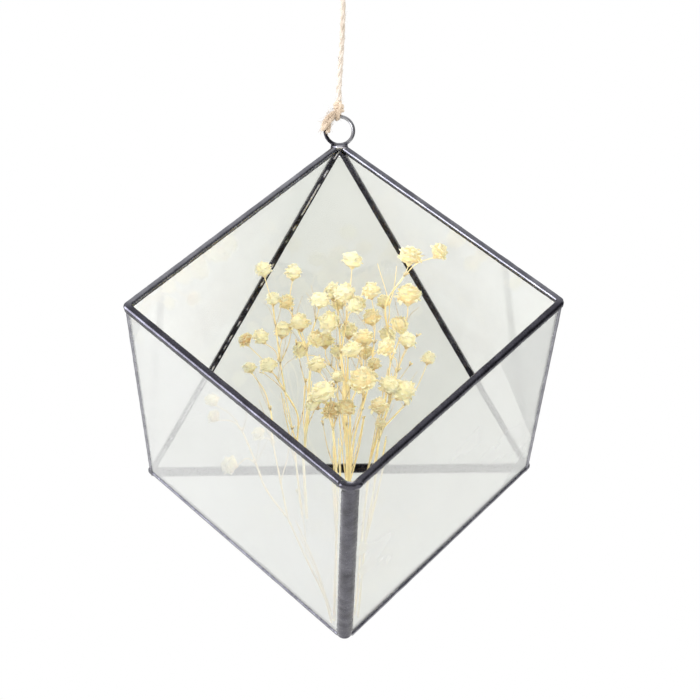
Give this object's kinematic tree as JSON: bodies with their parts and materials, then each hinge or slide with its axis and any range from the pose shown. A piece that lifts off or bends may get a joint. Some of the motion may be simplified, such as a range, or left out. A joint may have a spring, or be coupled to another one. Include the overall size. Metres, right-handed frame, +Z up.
{
  "type": "hanging glass terrarium",
  "caption": "Corner-hung glass cube with an open face and dark soldered seams, a ring and a twine loop to hang it by, holding dried flower sprays.",
  "frame": {"origin": "inside top of the twine loop, where it rests on the hook that holds it, straight above the apex of the cube", "axes": "+Z up along the hanging axis through the apex and the foot of the cube, +X to the right, -Y towards the side that the open face looks to"},
  "size_m": [0.1728, 0.1499, 0.3014],
  "materials": {
    "clear_glass": "clear drawn sheet glass, 1.5 mm, faintly grey green",
    "patina_solder": "tin solder over copper foil, hand beaded, dark grey patina, satin with bright glints",
    "ring_steel": "tinned wire, grey, half bright",
    "jute_twine": "natural pale jute, twisted, fuzzy, matte",
    "dried_flower": "dried petals and straw stems, cream, matte"
  },
  "bodies": {
    "root": {"pane_front_left": "clear_glass", "pane_front_right": "clear_glass", "pane_left": "clear_glass", "pane_right": "clear_glass", "pane_back": "clear_glass", "pane_bottom": "clear_glass", "rim_upper_left": "patina_solder", "rim_upper_right": "patina_solder", "rim_lower_left": "patina_solder", "rim_lower_right": "patina_solder", "seam_left": "patina_solder", "seam_right": "patina_solder", "seam_front": "patina_solder", "seam_lower_left": "patina_solder", "seam_lower_right": "patina_solder", "seam_back_left": "patina_solder", "seam_back_right": "patina_solder", "seam_back": "patina_solder", "hanging_ring": "ring_steel", "twine_ring_knot": "jute_twine", "twine_standing": "jute_twine", "twine_top_loop": "jute_twine", "spray_side": "dried_flower", "spray_left": "dried_flower", "spray_left_tall": "dried_flower", "spray_centre_low": "dried_flower", "spray_centre_tall": "dried_flower", "spray_centre_right": "dried_flower", "spray_right_low": "dried_flower", "spray_right_tall": "dried_flower", "spray_back": "dried_flower"}
  },
  "joints": []
}
